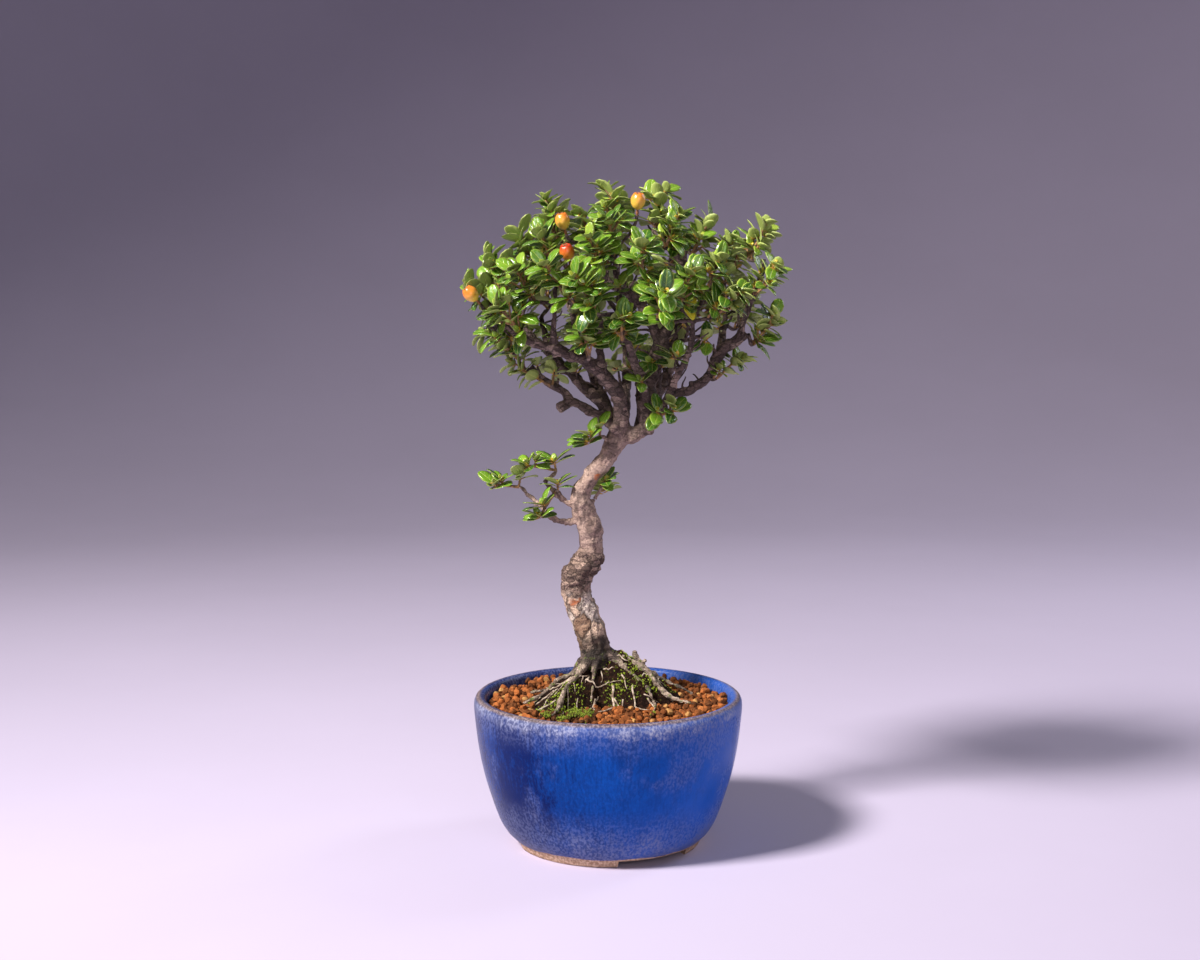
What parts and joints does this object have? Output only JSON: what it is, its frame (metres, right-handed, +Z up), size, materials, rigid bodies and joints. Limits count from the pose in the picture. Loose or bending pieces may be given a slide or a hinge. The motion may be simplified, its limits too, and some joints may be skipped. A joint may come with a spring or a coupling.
{
  "type": "cotoneaster bonsai",
  "caption": "Cotoneaster bonsai with a winding trunk, oval leaves and berries, in a round blue-glazed clay pot filled with akadama grains round an earth mound with bare surface roots.",
  "frame": {"origin": "on the surface that the pot stands on, under the middle of the whole plant's box; the pot's own axis is at x = -6 mm, y = 0", "axes": "+Z up along the tree's height; -Y towards the side that the picture shows; +X to the right in that view"},
  "size_m": [0.1306, 0.1104, 0.271],
  "materials": {
    "glaze": "gloss",
    "akadama": "matte",
    "earth": "matte",
    "bark": "matte",
    "leaf": "satin",
    "berry": "satin"
  },
  "bodies": {
    "root": {"pot": "glaze", "akadama_soil": "akadama", "root_mound": "earth", "trunk_branches_roots": "bark", "berry_back": "berry", "berry_front": "berry", "berry_left": "berry", "berry_top": "berry", "berry_upper": "berry", "leaves_back_centre": "leaf", "leaves_back_left": "leaf", "leaves_back_left_high": "leaf", "leaves_back_left_low": "leaf", "leaves_back_left_side": "leaf", "leaves_back_low": "leaf", "leaves_back_low_right": "leaf", "leaves_back_middle": "leaf", "leaves_back_right": "leaf", "leaves_back_right_edge": "leaf", "leaves_back_right_high": "leaf", "leaves_back_right_side": "leaf", "leaves_back_top": "leaf", "leaves_centre_right": "leaf", "leaves_crown_front": "leaf", "leaves_crown_inner": "leaf", "leaves_crown_left": "leaf", "leaves_crown_right": "leaf", "leaves_crown_top": "leaf", "leaves_fork_left": "leaf", "leaves_fork_right": "leaf", "leaves_front_high": "leaf", "leaves_front_low": "leaf", "leaves_front_middle": "leaf", "leaves_front_right": "leaf", "leaves_front_right_high": "leaf", "leaves_inner_left": "leaf", "leaves_left_crown": "leaf", "leaves_left_edge": "leaf", "leaves_left_front": "leaf", "leaves_left_glossy": "leaf", "leaves_left_low": "leaf", "leaves_left_lowest": "leaf", "leaves_left_middle": "leaf", "leaves_left_shoulder": "leaf", "leaves_left_tip": "leaf", "leaves_left_top": "leaf", "leaves_left_upper": "leaf", "leaves_low_middle": "leaf", "leaves_low_outer": "leaf", "leaves_low_upper": "leaf", "leaves_right_crown": "leaf", "leaves_right_front": "leaf", "leaves_right_high": "leaf", "leaves_right_low": "leaf", "leaves_right_reach": "leaf", "leaves_right_shoulder": "leaf", "leaves_right_tip": "leaf", "leaves_right_upper": "leaf", "leaves_trunk_right": "leaf"}
  },
  "joints": []
}
